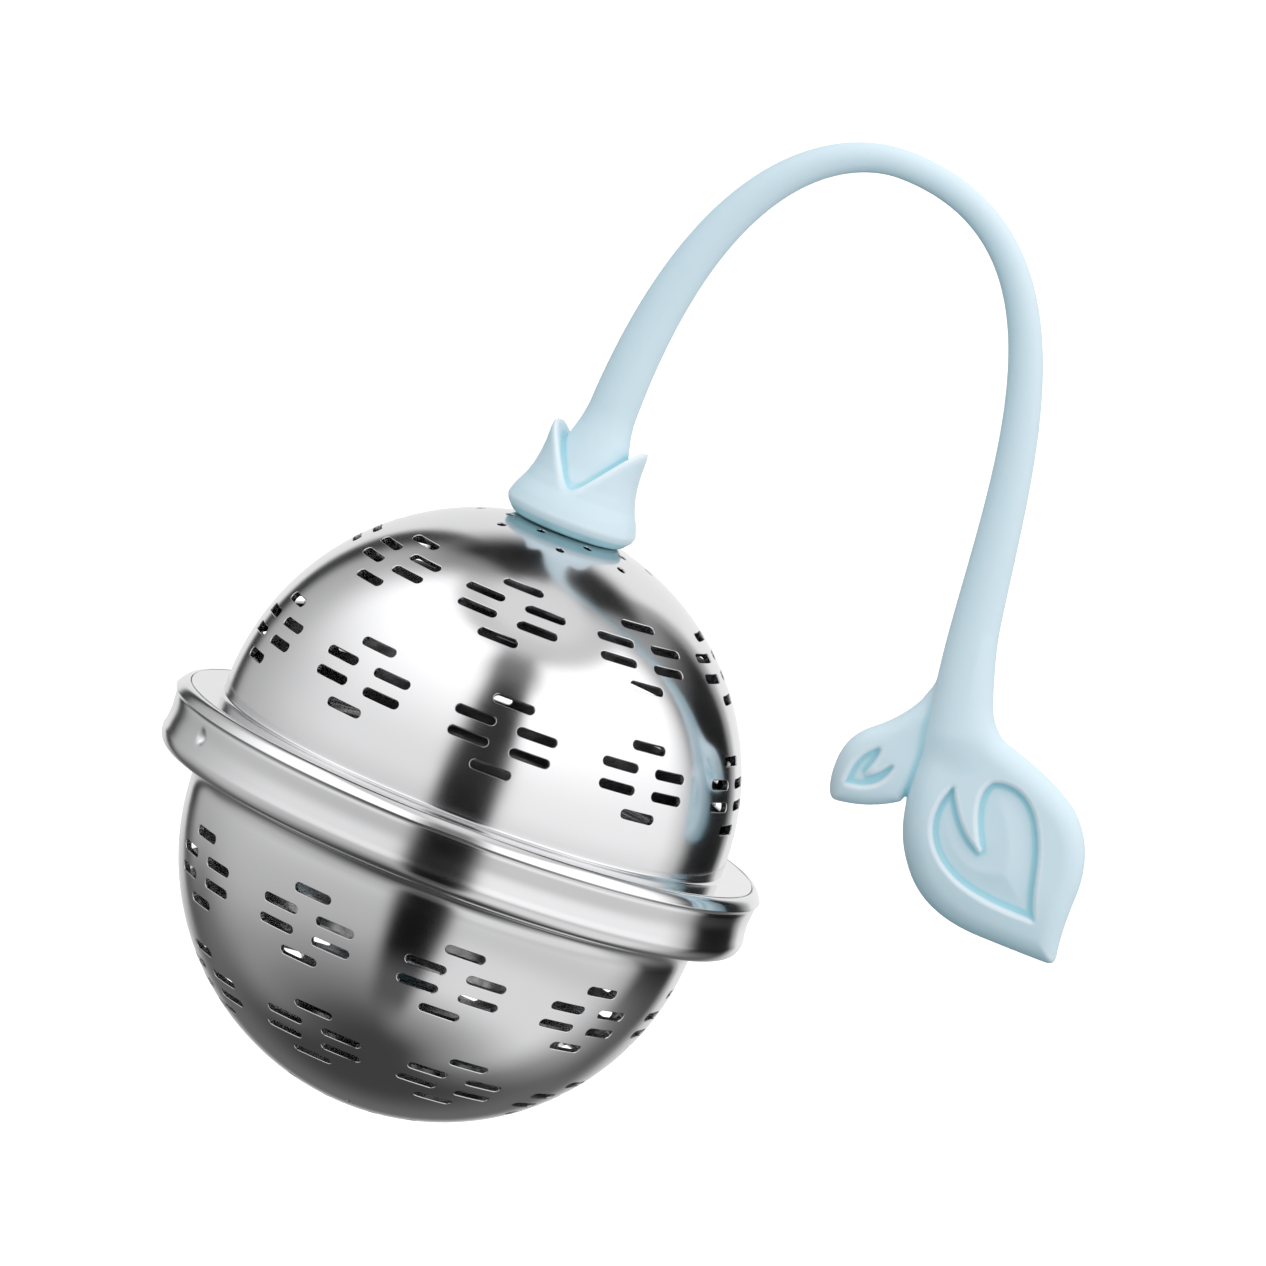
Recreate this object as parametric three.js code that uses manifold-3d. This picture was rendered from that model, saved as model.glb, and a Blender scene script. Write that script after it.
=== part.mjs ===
// Tea infuser: a two-part perforated steel ball with a bayonet band, carried by a silicone stem
// that bends over a cup's rim and ends in two leaves.
// Millimetres, +Z up. The origin is the point inside the stem's arch where a cup's rim sits.

import * as THREE from 'three';
import { mergeVertices } from 'three/addons/utils/BufferGeometryUtils.js';
import Module from 'manifold-3d';

const wasm = await Module();
wasm.setup();

// ---------------------------------------------------------------- driving dimensions

// The ball: x, z of its middle, from the arch's inside top
const BALL_X = -14.79;
const BALL_Z = -60.89;

// Steel shells; heights here are from the ball's middle
const SHEET = 0.5;
const BALL_R = 21.5;
const HALF_OFFSET = 3.7;
const STEM_HOLE_R = 2.9;
const LATHE_STEPS = 32;
const ARC_STEPS = 6;

// The upper half's flange and the skirt that it turns down into the band
const FLANGE_TOP = 2.85;
const SKIRT_R = 24.2;
const SKIRT_BOTTOM = -1.6;

// The lower half's shoulder and band
const BAND_R = 25.05;
const BAND_TOP = 2.9;
const SHOULDER_Z = -2.9;

// Bayonet: pips pressed into the band run in L-shaped slots in the skirt
const PIP_Z = 0.25;
const PIP_R = 0.6;
const PIP_REACH = 23.85;
const PIP_DENT_R = 0.5;
const PIP_DENT_DEPTH = 0.35;
const PIP_AZIMUTHS = [-59, 121];
const BAYONET_SLOT_HALF = 0.85;
const BAYONET_TURN_DEG = 28;

// Perforations: slots in groups of six, and two rings of small holes round each pole
const SLOT_LENGTH = 3.4;
const SLOT_WIDTH = 0.75;
const SLOT_OFFSETS = [[0, 2.8], [-2.6, 0.9], [2.6, 0.9], [-2.6, -0.9], [2.6, -0.9], [0, -2.8]];
const SMALL_HOLE = 0.65;
const HOLE_RINGS = [{ polar: 14, first: 22.5 }, { polar: 19.7, first: 0 }];
const HOLES_PER_RING = 8;
const UPPER_GROUPS = [{ polar: 72.8, count: 10, first: 3.2 }, { polar: 44.9, count: 8, first: -6.9 }];
const LOWER_GROUPS = [{ polar: 73.1, count: 10, first: 12.4 }, { polar: 46.3, count: 8, first: -17.6 }];

// Silicone stem: two cubic arcs in the XZ plane that meet level at the top, from the ball's middle
const INNER_ARC = [[0.03, 28.6], [-1.46, 55.77], [8.79, 62.07], [14.79, 62.07]];
const OUTER_ARC = [[14.79, 62.07], [35.02, 62.07], [30.96, 31.55], [35.23, 21]];
const STEM_TOP_R = 1.18;
const STEM_FOOT_R = 2.15;
const STEM_LEAF_R = 2.4;
const STEM_TAPER = 1.8;
const STEM_INTO_LEAF = 3.9;
const FLEX_CLEARANCE = 0.3;
const STEM_STEPS = 12;
const STEM_SIDES = 12;

// The calyx, the flower-cup shape at the stem's foot
const CALYX_X = -0.2;
const NOTCH_BOTTOM = 28.4;
const PETAL_TIP = 33.2;
const NOTCH_HALF_WIDTH = 3.9;
const NOTCH_AZIMUTH = -22;
const CALYX_SIDES = 20;

// Leaves
const LARGE_LEAF_THICK = 4.0;
const SMALL_LEAF_THICK = 2.9;
const SMALL_LEAF_BACK = 0.8;
const LARGE_LEAF_EDGE = 0.8;
const SMALL_LEAF_EDGE = 0.5;
const LARGE_PANEL_DEEP = 0.7;
const SMALL_PANEL_DEEP = 0.45;

// ---------------------------------------------------------------- materials

const steel = () => new THREE.MeshStandardMaterial({ color: 0xc9cacc, roughness: 0.16, metalness: 1 });
const silicone = () => new THREE.MeshStandardMaterial({ color: 0xc4dfe4, roughness: 0.55, metalness: 0 });

// ---------------------------------------------------------------- solids

const radians = THREE.MathUtils.degToRad;

function toSolid(geometry) {
  const bare = geometry.clone();
  bare.deleteAttribute('normal');
  bare.deleteAttribute('uv');
  const merged = mergeVertices(bare, 1e-4);
  const mesh = new wasm.Mesh({
    numProp: 3,
    vertProperties: new Float32Array(merged.attributes.position.array),
    triVerts: new Uint32Array(merged.index.array),
  });
  return new wasm.Manifold(mesh);
}

function toGeometry(solid) {
  const mesh = solid.getMesh();
  const geometry = new THREE.BufferGeometry();
  geometry.setAttribute('position', new THREE.BufferAttribute(mesh.vertProperties, 3));
  geometry.setIndex(new THREE.BufferAttribute(mesh.triVerts, 1));
  geometry.computeVertexNormals();
  return geometry;
}

function cutAll(geometry, tools) {
  let solid = toSolid(geometry);
  for (const tool of tools) {
    solid = solid.subtract(toSolid(tool));
  }
  return solid;
}

// A closed outline of [radius, height] pairs, turned about Z; anticlockwise, so its faces point out
function turned(outline, segments) {
  const points = outline.map(([r, z]) => new THREE.Vector2(r, z));
  if (THREE.ShapeUtils.isClockWise(points)) {
    points.reverse();
  }
  points.push(points[0].clone());
  const geometry = new THREE.LatheGeometry(points, segments);
  geometry.rotateX(Math.PI / 2);
  return geometry;
}

// Points along a quarter of a sphere's outline; pole is +1 for the upper half and -1 for the lower
function sphereArc(radius, pole, fromDeg, toDeg) {
  const arc = [];
  for (let i = 0; i <= ARC_STEPS; i += 1) {
    const angle = radians(fromDeg + (toDeg - fromDeg) * i / ARC_STEPS);
    arc.push([radius * Math.sin(angle), pole * (HALF_OFFSET + radius * Math.cos(angle))]);
  }
  return arc;
}

// A tool's place on the sphere: azimuth 0 is the front (-Y), rising towards +X
function onSphere(polarDeg, azimuthDeg, pole, radius) {
  const polar = radians(polarDeg);
  const azimuth = radians(azimuthDeg);
  const east = new THREE.Vector3(Math.cos(azimuth), Math.sin(azimuth), 0);
  const outward = new THREE.Vector3(
    Math.sin(polar) * Math.sin(azimuth), -Math.sin(polar) * Math.cos(azimuth), pole * Math.cos(polar));
  const north = new THREE.Vector3().crossVectors(outward, east);
  const place = new THREE.Matrix4().makeBasis(east, north, outward);
  const centre = new THREE.Vector3(0, 0, pole * HALF_OFFSET);
  place.setPosition(outward.clone().multiplyScalar(radius).add(centre));
  return place;
}

function prism(outline, depth) {
  const shape = new THREE.Shape(outline.map(([x, y]) => new THREE.Vector2(x, y)));
  const geometry = new THREE.ExtrudeGeometry(shape, { depth, bevelEnabled: false });
  geometry.translate(0, 0, -depth / 2);
  return geometry;
}

function rectangle(length, width) {
  const x = length / 2;
  const y = width / 2;
  return [[-x, -y], [x, -y], [x, y], [-x, y]];
}

// Tools for every slot and small hole of one half; both are square-cornered here
function perforations(groups, pole) {
  const tools = [];
  const middle = BALL_R - SHEET / 2;
  const slot = prism(rectangle(SLOT_LENGTH, SLOT_WIDTH), 4 * SHEET);
  const hole = prism(rectangle(SMALL_HOLE, SMALL_HOLE), 4 * SHEET);
  for (const { polar, count, first } of groups) {
    for (let i = 0; i < count; i += 1) {
      const azimuth = first + i * 360 / count;
      for (const [across, up] of SLOT_OFFSETS) {
        const slotPolar = polar - pole * THREE.MathUtils.radToDeg(up / middle);
        const turn = THREE.MathUtils.radToDeg(across / (middle * Math.sin(radians(slotPolar))));
        tools.push(slot.clone().applyMatrix4(onSphere(slotPolar, azimuth + turn, pole, middle)));
      }
    }
  }
  for (const { polar, first } of HOLE_RINGS) {
    for (let i = 0; i < HOLES_PER_RING; i += 1) {
      const azimuth = first + i * 360 / HOLES_PER_RING;
      tools.push(hole.clone().applyMatrix4(onSphere(polar, azimuth, pole, middle)));
    }
  }
  return tools;
}

// ---------------------------------------------------------------- steel shells

// A block of ring between two azimuths and two heights, wide enough to cut the skirt through
function ringBlock(fromDeg, toDeg, bottom, top) {
  const inner = SKIRT_R - 3 * SHEET;
  const outer = SKIRT_R + 2 * SHEET;
  const steps = Math.max(1, Math.round((toDeg - fromDeg) / 7.5));
  const outline = [];
  for (let i = 0; i <= steps; i += 1) {
    const azimuth = radians(fromDeg + (toDeg - fromDeg) * i / steps);
    outline.push([outer * Math.sin(azimuth), -outer * Math.cos(azimuth)]);
  }
  for (let i = steps; i >= 0; i -= 1) {
    const azimuth = radians(fromDeg + (toDeg - fromDeg) * i / steps);
    outline.push([inner * Math.sin(azimuth), -inner * Math.cos(azimuth)]);
  }
  const block = prism(outline, top - bottom);
  block.translate(0, 0, (top + bottom) / 2);
  return block;
}

// Each pip's path in the skirt: up from the open edge, then along, against the way the dome turns
function bayonetSlots() {
  const slots = [];
  const half = THREE.MathUtils.radToDeg(BAYONET_SLOT_HALF / SKIRT_R);
  const top = PIP_Z + BAYONET_SLOT_HALF;
  for (const azimuth of PIP_AZIMUTHS) {
    slots.push(ringBlock(azimuth - half, azimuth + half, SKIRT_BOTTOM - SHEET, top));
    slots.push(
      ringBlock(azimuth - BAYONET_TURN_DEG - half, azimuth + half, PIP_Z - BAYONET_SLOT_HALF, top));
  }
  return slots;
}

function upperShell() {
  const inside = BALL_R - SHEET;
  const holeAngle = (radius) => THREE.MathUtils.radToDeg(Math.asin(STEM_HOLE_R / radius));
  const outline = [
    ...sphereArc(BALL_R, 1, holeAngle(BALL_R), 90),
    [BALL_R, FLANGE_TOP + 0.5],
    [BALL_R + 0.15, FLANGE_TOP + 0.15],
    [BALL_R + 0.5, FLANGE_TOP],
    [SKIRT_R - 0.1, FLANGE_TOP],
    [SKIRT_R, FLANGE_TOP - 0.1],
    [SKIRT_R, SKIRT_BOTTOM],
    [SKIRT_R - SHEET, SKIRT_BOTTOM],
    [SKIRT_R - SHEET, FLANGE_TOP - SHEET],
    [inside + 0.7, FLANGE_TOP - SHEET],
    [inside + 0.15, FLANGE_TOP - SHEET + 0.2],
    [inside, FLANGE_TOP + 0.2],
    ...sphereArc(inside, 1, 90, holeAngle(inside)),
  ];
  return cutAll(turned(outline, LATHE_STEPS), [...perforations(UPPER_GROUPS, 1), ...bayonetSlots()]);
}

// A pip pressed into the band from outside: a stub inside the wall and a dent in its outer face
function pipPlace(geometry, azimuthDeg, radius) {
  geometry.rotateX(Math.PI / 2);
  geometry.translate(0, -radius, PIP_Z);
  geometry.rotateZ(radians(azimuthDeg));
  return geometry;
}

function lowerShell() {
  const inside = BALL_R - SHEET;
  const bandInside = BAND_R - SHEET;
  const shoulderTop = SHOULDER_Z + SHEET;
  const outline = [
    ...sphereArc(BALL_R, -1, 0, 88),
    [BALL_R + 0.15, SHOULDER_Z - 0.35],
    [BALL_R + 0.65, SHOULDER_Z],
    [BAND_R - 1.1, SHOULDER_Z + 0.05],
    [BAND_R - 0.4, SHOULDER_Z + 0.6],
    [BAND_R, SHOULDER_Z + 1.4],
    [BAND_R, BAND_TOP - 0.2],
    [BAND_R - 0.15, BAND_TOP],
    [bandInside + 0.15, BAND_TOP],
    [bandInside, BAND_TOP - 0.2],
    [bandInside, shoulderTop + 0.9],
    [bandInside - 0.6, shoulderTop + 0.15],
    [inside + 0.9, shoulderTop],
    [inside + 0.15, shoulderTop - 0.45],
    ...sphereArc(inside, -1, 88, 0),
  ];
  let solid = cutAll(turned(outline, LATHE_STEPS), perforations(LOWER_GROUPS, -1));
  const stubLength = bandInside + SHEET / 2 - PIP_REACH;
  for (const azimuth of PIP_AZIMUTHS) {
    const stub = new THREE.CylinderGeometry(PIP_R, PIP_R * 0.7, stubLength, 8);
    const dent = new THREE.CylinderGeometry(PIP_DENT_R, PIP_DENT_R * 0.4, 2 * PIP_DENT_DEPTH, 8);
    solid = solid.add(toSolid(pipPlace(stub, azimuth, PIP_REACH + stubLength / 2)));
    solid = solid.subtract(toSolid(pipPlace(dent, azimuth, BAND_R)));
  }
  return solid;
}

// ---------------------------------------------------------------- silicone handle

// The plug under the dome, the neck through its hole, the collar, and the cup of two petals
function calyx() {
  const outline = [
    [0, 21.9],
    [2.2, 21.9],
    [3.9, 23.4],
    [3.9, 23.75],
    [2.5, 24],
    [2.5, 25.35],
    [4.2, 25.35],
    [5.2, 25.5],
    [5.5, 26.1],
    [5.2, 27],
    [4.65, 28.1],
    [4.18, 30.1],
    [4.1, 31.6],
    [4.2, PETAL_TIP],
    [3.3, PETAL_TIP],
    [3.2, 30],
    [3.2, NOTCH_BOTTOM],
    [0, NOTCH_BOTTOM],
  ];
  const above = 1;
  const slope = NOTCH_HALF_WIDTH / (PETAL_TIP - NOTCH_BOTTOM);
  const reach = (PETAL_TIP + above - NOTCH_BOTTOM) * slope;
  const notch = prism(
    [[0, NOTCH_BOTTOM], [reach, PETAL_TIP + above], [-reach, PETAL_TIP + above]], 14);
  notch.rotateX(Math.PI / 2);
  notch.rotateZ(radians(NOTCH_AZIMUTH));
  return cutAll(turned(outline, CALYX_SIDES), [notch]).translate([CALYX_X, 0, 0]);
}

function arcCurve(points) {
  return new THREE.CubicBezierCurve(...points.map(([x, z]) => new THREE.Vector2(x, z)));
}

// A straight turned stick bent along a flat curve: stations are [share of the curve, radius] pairs
function bentStick(curve, stations) {
  const outline = stations.map(([share, radius]) => new THREE.Vector2(radius, share));
  const stick = new THREE.LatheGeometry(outline, STEM_SIDES);
  const place = stick.attributes.position;
  for (let i = 0; i < place.count; i += 1) {
    const share = THREE.MathUtils.clamp(place.getY(i), 0, 1);
    const point = curve.getPointAt(share);
    const along = curve.getTangentAt(share);
    const across = place.getX(i);
    const beyond = (place.getY(i) - share) * curve.getLength();
    place.setXYZ(
      i,
      point.x - along.y * across + along.x * beyond,
      place.getZ(i),
      point.y + along.x * across + along.y * beyond);
  }
  return toSolid(stick);
}

// Radius of the stem from its top (0) to its foot or its leaf (1): slim at first, fuller at the end
function stemRadius(share, endRadius) {
  return STEM_TOP_R + (endRadius - STEM_TOP_R) * share ** STEM_TAPER;
}

function stemStations(from, to, radiusAt) {
  const stations = [[from, 0]];
  for (let i = 0; i <= STEM_STEPS; i += 1) {
    const share = from + (to - from) * i / STEM_STEPS;
    stations.push([share, radiusAt(share)]);
  }
  stations.push([to, 0]);
  return stations;
}

function stemInnerHalf() {
  const curve = arcCurve(INNER_ARC);
  const from = FLEX_CLEARANCE / curve.getLength();
  const to = 1 - (STEM_TOP_R + FLEX_CLEARANCE) / curve.getLength();
  return bentStick(curve, stemStations(from, to, (share) => stemRadius(1 - share, STEM_FOOT_R)));
}

// The outer half starts with a round end centred on the flex axis
function stemOuterHalf() {
  const curve = arcCurve(OUTER_ARC);
  const length = curve.getLength();
  const cap = [];
  for (const angle of [90, 60, 30]) {
    cap.push([-STEM_TOP_R * Math.sin(radians(angle)) / length, STEM_TOP_R * Math.cos(radians(angle))]);
  }
  const leafEnd = 1 - STEM_INTO_LEAF / length;
  const stations = stemStations(0, leafEnd, (share) => stemRadius(share, STEM_LEAF_R));
  stations.shift();
  return bentStick(curve, [...cap, ...stations]);
}

// Leaf outlines and the sunk panels beside the midrib, drawn in the XZ plane from the ball's middle
function largeLeafOutline() {
  const shape = new THREE.Shape();
  shape.moveTo(32, 24.25);
  shape.lineTo(36.5, 24.25);
  shape.bezierCurveTo(37, 22.4, 37.9, 21.75, 39.6, 21.25);
  shape.bezierCurveTo(41.4, 20.7, 44, 19.9, 46.2, 18.3);
  shape.bezierCurveTo(48.1, 16.6, 48.85, 14.4, 48.85, 12);
  shape.bezierCurveTo(48.8, 9.8, 48.9, 8, 49.2, 5.75);
  shape.lineTo(42.4, 5.7);
  shape.bezierCurveTo(38.6, 5.8, 36.6, 7.2, 35.2, 9.2);
  shape.bezierCurveTo(33.6, 11.4, 33.15, 13.6, 33.1, 17.5);
  shape.bezierCurveTo(33, 20, 32.3, 22, 32, 24.25);
  return shape;
}

function largePanelOutline() {
  const shape = new THREE.Shape();
  shape.moveTo(36.35, 17);
  shape.bezierCurveTo(34.9, 14.4, 35.6, 11.3, 38.9, 9.7);
  shape.bezierCurveTo(40.8, 8.8, 43.6, 8.65, 46.5, 8.8);
  shape.bezierCurveTo(45.2, 11.2, 45.5, 13.4, 43.9, 16.2);
  shape.bezierCurveTo(42.8, 18.3, 40.8, 19.1, 39.1, 18.3);
  shape.bezierCurveTo(38.1, 17.1, 38.7, 15.1, 40.1, 12.7);
  shape.bezierCurveTo(38.4, 13.5, 37.4, 15, 36.35, 17);
  return shape;
}

function smallLeafOutline() {
  const shape = new THREE.Shape();
  shape.moveTo(32, 22.1);
  shape.lineTo(31.2, 21.7);
  shape.bezierCurveTo(30.5, 20.4, 29.8, 19.6, 28.5, 18.55);
  shape.bezierCurveTo(26.9, 17.2, 26.75, 15.6, 26.9, 13.8);
  shape.lineTo(27.9, 11.9);
  shape.bezierCurveTo(29.7, 12.1, 31.2, 12.6, 32.6, 13.7);
  shape.bezierCurveTo(32.8, 17, 32.5, 19.6, 32, 22.1);
  return shape;
}

function smallPanelOutline() {
  const shape = new THREE.Shape();
  shape.moveTo(29.75, 17.6);
  shape.bezierCurveTo(28.45, 16.8, 27.95, 15.5, 28, 13.6);
  shape.bezierCurveTo(29.4, 13.5, 30.9, 14.2, 31.3, 16.1);
  shape.bezierCurveTo(31, 16.5, 30.7, 15.5, 29.6, 15.1);
  shape.bezierCurveTo(29.7, 15.9, 30.3, 16.8, 29.75, 17.6);
  return shape;
}

// A slab of the outline, standing in the XZ plane, its middle at the given Y
function upright(shape, depth, middleY, edge) {
  const flat = depth - 2 * edge;
  const geometry = new THREE.ExtrudeGeometry(shape, {
    depth: flat,
    curveSegments: 5,
    bevelEnabled: edge > 0,
    bevelThickness: edge,
    bevelSize: edge,
    bevelOffset: -edge,
    bevelSegments: 2,
  });
  geometry.rotateX(Math.PI / 2);
  geometry.translate(0, middleY + flat / 2, 0);
  return geometry;
}

function leaf(outline, panel, thick, edge, panelDeep, middleY) {
  const tools = [];
  for (const side of [-1, 1]) {
    tools.push(upright(panel, 2 * panelDeep, middleY + side * thick / 2, 0));
  }
  return cutAll(upright(outline, thick, middleY, edge), tools);
}

// ---------------------------------------------------------------- assembly

const infuser = new THREE.Group();

function addPart(name, solid, material) {
  const mesh = new THREE.Mesh(toGeometry(solid), material);
  mesh.name = name;
  mesh.position.set(BALL_X, 0, BALL_Z);
  infuser.add(mesh);
}

const largeLeaf = leaf(
  largeLeafOutline(), largePanelOutline(), LARGE_LEAF_THICK, LARGE_LEAF_EDGE, LARGE_PANEL_DEEP, 0);
const smallLeaf = leaf(
  smallLeafOutline(), smallPanelOutline(), SMALL_LEAF_THICK, SMALL_LEAF_EDGE, SMALL_PANEL_DEEP,
  SMALL_LEAF_BACK);

addPart('upper_shell', upperShell(), steel());
addPart('lower_shell', lowerShell(), steel());
addPart('calyx_plug', calyx(), silicone());
addPart('stem_inner_half', stemInnerHalf(), silicone());
addPart('stem_outer_half', stemOuterHalf(), silicone());
addPart('large_leaf', largeLeaf, silicone());
addPart('small_leaf', smallLeaf, silicone());

export default infuser;
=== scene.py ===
"""Looks of the tea infuser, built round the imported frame.

Two perforated steel half shells replace the faceted ones, and one continuous silicone moulding
(plug, calyx, stem and leaves) replaces the handle's five CAD nodes. Sizes are in millimetres from
the ball's middle, +Z along the ball's axis, and mesh_piece() puts them in the row frame in metres.
"""

import math

import bpy
import numpy as np
from mathutils import Matrix, Vector
from mathutils.geometry import delaunay_2d_cdt

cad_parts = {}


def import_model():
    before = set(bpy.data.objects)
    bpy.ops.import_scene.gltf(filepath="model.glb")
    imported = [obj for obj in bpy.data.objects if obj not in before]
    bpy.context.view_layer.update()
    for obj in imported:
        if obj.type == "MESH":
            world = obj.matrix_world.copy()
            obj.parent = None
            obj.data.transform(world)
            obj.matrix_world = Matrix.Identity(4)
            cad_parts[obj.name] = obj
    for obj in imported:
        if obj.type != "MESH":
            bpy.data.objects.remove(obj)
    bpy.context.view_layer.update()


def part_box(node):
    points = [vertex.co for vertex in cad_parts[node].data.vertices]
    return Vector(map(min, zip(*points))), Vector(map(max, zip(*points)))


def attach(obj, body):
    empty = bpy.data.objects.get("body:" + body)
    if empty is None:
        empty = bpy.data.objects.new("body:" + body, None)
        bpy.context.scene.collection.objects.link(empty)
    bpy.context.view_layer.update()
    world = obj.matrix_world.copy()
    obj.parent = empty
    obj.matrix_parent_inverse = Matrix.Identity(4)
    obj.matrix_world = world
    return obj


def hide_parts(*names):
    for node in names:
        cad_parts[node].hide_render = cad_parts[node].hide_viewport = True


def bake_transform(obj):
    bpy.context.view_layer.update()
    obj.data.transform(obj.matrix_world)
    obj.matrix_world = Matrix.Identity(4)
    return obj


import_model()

MM = 0.001
CAD_BALL_HALF = 25.2

# ---------------------------------------------------------------- driving dimensions

# Steel shells
BALL_R = 21.5
HALF_OFFSET = 3.7
SHEET = 0.5
INSIDE_R = BALL_R - SHEET
SLOT_EDGE = 0.07
STEM_HOLE_R = 2.9
STEM_HOLE_STEPS = 48
# Painted shade on the inner skin of each half's cap: dome (1) and bowl (-1)
INSIDE_SHADE = {1: 1.0, -1: 0.2}
CAP_END = 86.0
CAP_SPACING = 0.95
RING_STEPS = 192

# Perforations: slots in groups of six, and two rings of small holes round each pole
SLOT_LENGTH = 3.4
SLOT_WIDTH = 0.75
SIDE_SHARES = (0.5, 0, -0.5)
SLOT_OFFSETS = [(0, 2.8), (-2.6, 0.9), (2.6, 0.9), (-2.6, -0.9), (2.6, -0.9), (0, -2.8)]
SMALL_HOLE = 0.7
HOLE_RINGS = [(14.0, 22.5), (19.7, 0.0)]
HOLES_PER_RING = 8
GROUPS = {
    1: [(72.8, 10, 3.2), (44.9, 8, -6.9)],
    -1: [(73.1, 10, 12.4), (46.3, 8, -17.6)],
}

# Flange, skirt and band
FLANGE_TOP = 2.85
FLANGE_CORNER = 0.12
FILLET = 0.3
SKIRT_R = 24.2
SKIRT_BOTTOM = -1.6
BAND_R = 25.05
LIP_INSIDE = 24.25
SHOULDER_Z = -2.9

# Bayonet pips in the band, and their slots in the skirt
PIP_AZIMUTHS = (-59.0, 121.0)
PIP_Z = 0.25
PIP_WIDTH = 0.5
PIP_DEEP = 0.42
BAYONET_HALF = 0.85
BAYONET_TURN = 28.0

# Stem: two cubic arcs that meet level at the top of the arch
INNER_ARC = ((0.03, 28.6), (-1.46, 55.77), (8.79, 62.07), (14.79, 62.07))
OUTER_ARC = ((14.79, 62.07), (35.02, 62.07), (30.96, 31.55), (35.23, 21.0))
STEM_TOP_R = 1.18
STEM_FOOT_R = 2.15
STEM_LEAF_R = 2.4
STEM_TAPER = 1.8

# Moulding
VOXEL = 0.18
GRID_LOW = (-6.6, -5.9, 4.9)
GRID_HIGH = (50.3, 5.9, 64.3)
CALYX_SPAN = (21.0, 35.0)
NUDGE = 0.0001
LARGE_HALF = 2.0
CURL_START = (43.5, 13.0)
CURL_TOWARDS = (0.35, 0.94)
CURL = 0.033
THIN_FROM = 19.0
THIN_OVER = 7.5
LARGE_ROUND = 1.85
LARGE_SUNK = 0.75
PANEL_CROWN = 0.32
PANEL_SLOPE = 0.45
CROWN_START = 0.4
CROWN_OVER = 2.8
LARGE_JOIN = 1.6
SMALL_HALF = 1.45
SMALL_ROUND = 1.2
SMALL_SUNK = 0.5
SMALL_BACK = 0.8
SMALL_JOIN = 0.45
CALYX_X = -0.2
CALYX_JOIN = 0.6
# Painted shade under the calyx: the height it starts below, its fade, its depth in the bend mark, and its
# right end
UNDER_CALYX_SHADE_TOP = 25.9
UNDER_CALYX_SHADE_FADE = 0.9
UNDER_CALYX_SHADE_DEPTH = 3.0
UNDER_CALYX_SHADE_RIGHT = 10.0
NOTCH_BOTTOM = 28.3
NOTCH_SLOPE = 1.45
NOTCH_AZIMUTH = -12.0
NOTCH_ROUND = 0.3
NOTCH_SET = 0.4
PETAL_ROUND = 0.5
FOOT_JOIN = 0.15
PLUG_JOIN = 0.2

# Camera: the arch's plane faces it, rolled so that the ball's axis leans to the right
CAMERA_RISE = 7.15
CAMERA_ROLL = 20.97
CAMERA_AWAY = 0.80
FRAME_WIDTH = 102.18
SENSOR = 36
AIM = (7.81, 18.89)
KEY = (0.40, -0.42, 0.81)
KEY_LIGHT = (1.53, 1.42, 1.43, 1)
SHADE_LIGHT = (0.10, 0.28, 0.33, 1)
FLOOR_BELOW = 80


def ball_middle():
    """The ball's middle in the row frame, from the lower shell's own box."""
    low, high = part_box("lower_shell")
    x = (low.x + high.x) / 2
    y = (low.y + high.y) / 2
    return Vector((x, y, low.z + CAD_BALL_HALF * MM))


BALL = ball_middle()


# ---------------------------------------------------------------- mesh helpers

def mesh_piece(name, points, faces, normals, marks):
    """A smooth mesh object from millimetre points about the ball's middle, unused points dropped.

    marks holds one number for each point under each name, for the material to use."""
    used = np.unique(np.concatenate([np.ravel(f) for f in faces]))
    renumber = np.zeros(len(points), int)
    renumber[used] = np.arange(len(used))
    placed = points[used] * MM + np.array(BALL)
    mesh = bpy.data.meshes.new(name)
    mesh.from_pydata(placed.tolist(), [], [renumber[list(f)].tolist() for f in faces])
    mesh.polygons.foreach_set("use_smooth", [True] * len(mesh.polygons))
    mesh.update()
    mesh.normals_split_custom_set_from_vertices(normals[used].tolist())
    for mark, values in marks.items():
        mesh.attributes.new(mark, "FLOAT", "POINT").data.foreach_set("value", values[used])
    piece = bpy.data.objects.new(name, mesh)
    bpy.context.scene.collection.objects.link(piece)
    return piece


def unit(vectors):
    """Each vector at length 1."""
    length = np.linalg.norm(vectors, axis=-1, keepdims=True)
    return vectors / np.maximum(length, 1e-9)


def bezier(points, steps):
    """Points along a cubic arc, its first end included."""
    p = np.asarray(points, float)
    t = np.linspace(0, 1, steps, endpoint=False)[:, None]
    return (1 - t) ** 3 * p[0] + 3 * (1 - t) ** 2 * t * p[1] + 3 * (1 - t) * t * t * p[2] + t ** 3 * p[3]


def arc(centre, radius, start, end, steps):
    """Points on a circle's arc in the (radius, height) plane, both ends included, degrees."""
    angle = np.radians(np.linspace(start, end, steps + 1))
    return np.column_stack([centre[0] + radius * np.cos(angle), centre[1] + radius * np.sin(angle)])


def line(start, end, steps):
    """Points from start towards end, both included."""
    t = np.linspace(0, 1, steps + 1)[:, None]
    return np.asarray(start, float) * (1 - t) + np.asarray(end, float) * t


def joined(*stretches):
    """One path from several stretches, dropping points that repeat."""
    path = np.vstack([np.asarray(s, float).reshape(-1, 2) for s in stretches])
    keep = [0] + [i for i in range(1, len(path)) if np.linalg.norm(path[i] - path[i - 1]) > 1e-4]
    return path[keep]


# ---------------------------------------------------------------- steel shells

def sphere_normal(polar, azimuth, pole):
    """Outward unit vectors; azimuth 0 is the front (-Y) and rises towards +X, both in radians."""
    return np.stack(
        [np.sin(polar) * np.sin(azimuth), -np.sin(polar) * np.cos(azimuth), pole * np.cos(polar)], axis=-1)


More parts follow.
